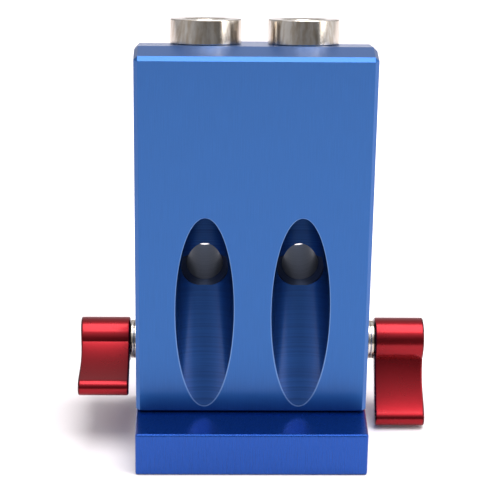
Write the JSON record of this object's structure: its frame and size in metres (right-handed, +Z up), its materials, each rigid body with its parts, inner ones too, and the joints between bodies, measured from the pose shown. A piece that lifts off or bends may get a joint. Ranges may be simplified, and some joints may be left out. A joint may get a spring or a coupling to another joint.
{
  "type": "pocket hole jig",
  "caption": "Pocket hole jig: anodised block with slanted guide bushes, an edge stop on slotted arms, and toothed comma-shaped clamp levers at the sides.",
  "frame": {"origin": "on the underside of the foot plate, in the middle of its width, straight below the front face of the drill block", "axes": "+Z up along the block, -Y out of the front face with the oval pockets, +X to the right seen from the front"},
  "size_m": [0.0938, 0.0455, 0.1172],
  "materials": {
    "blue_anodised": "brushed and blue anodised, satin",
    "red_anodised": "bead blasted and red anodised, satin",
    "turned_steel": "fine turned, bare",
    "black_steel": "black oxide",
    "spring_steel": "drawn wire, bare"
  },
  "bodies": {
    "edge_stop": {"foot_plate": "blue_anodised", "slide_arm_left": "blue_anodised", "slide_arm_right": "blue_anodised", "foot_screw_left": "black_steel", "foot_screw_right": "black_steel"},
    "jig_block": {"drill_block": "blue_anodised", "drill_bush_left": "turned_steel", "drill_bush_right": "turned_steel", "bush_set_screw_left": "black_steel", "bush_set_screw_right": "black_steel"},
    "washer_left": {"clamp_washer_left": "turned_steel"},
    "washer_right": {"clamp_washer_right": "turned_steel"},
    "clamp_left": {"clamp_stud_left": "turned_steel", "lever_screw_left": "black_steel", "lever_spring_left": "spring_steel"},
    "clamp_right": {"clamp_stud_right": "turned_steel", "lever_screw_right": "black_steel", "lever_spring_right": "spring_steel"},
    "handle_left": {"clamp_lever_left": "red_anodised"},
    "handle_right": {"clamp_lever_right": "red_anodised"}
  },
  "joints": [
    {"name": "block_slide", "type": "slide", "parent": "edge_stop", "child": "jig_block", "axis": [0, 0, 1], "range_m": [0, 0.038]},
    {"name": "clamp_travel_left", "type": "slide", "parent": "jig_block", "child": "washer_left", "axis": [-1, 0, 0], "range_m": [0, 0.00161]},
    {"name": "clamp_turn_left", "type": "hinge", "parent": "washer_left", "child": "clamp_left", "pos_m": [-0.0305, 0.0274, 0.0201], "axis": [-1, 0, 0], "range_deg": [0, 720]},
    {"name": "lever_lift_left", "type": "slide", "parent": "clamp_left", "child": "handle_left", "axis": [-1, 0, 0], "range_m": [0, 0.0025], "stiffness_N_per_m": 300, "springref_m": -0.002, "deforming": ["lever_spring_left"]},
    {"name": "clamp_travel_right", "type": "slide", "parent": "jig_block", "child": "washer_right", "axis": [1, 0, 0], "range_m": [-0.00161, 0.00041]},
    {"name": "clamp_turn_right", "type": "hinge", "parent": "washer_right", "child": "clamp_right", "pos_m": [0.0305, 0.0274, 0.0201], "axis": [1, 0, 0], "range_deg": [-720, 180]},
    {"name": "lever_lift_right", "type": "slide", "parent": "clamp_right", "child": "handle_right", "axis": [1, 0, 0], "range_m": [0, 0.0025], "stiffness_N_per_m": 300, "springref_m": -0.002, "deforming": ["lever_spring_right"]}
  ],
  "couplings": [
    {"joint": "clamp_travel_left", "follows": "clamp_turn_left", "m_per_rad": 0.00012732},
    {"joint": "clamp_travel_right", "follows": "clamp_turn_right", "m_per_rad": 0.00012732}
  ]
}
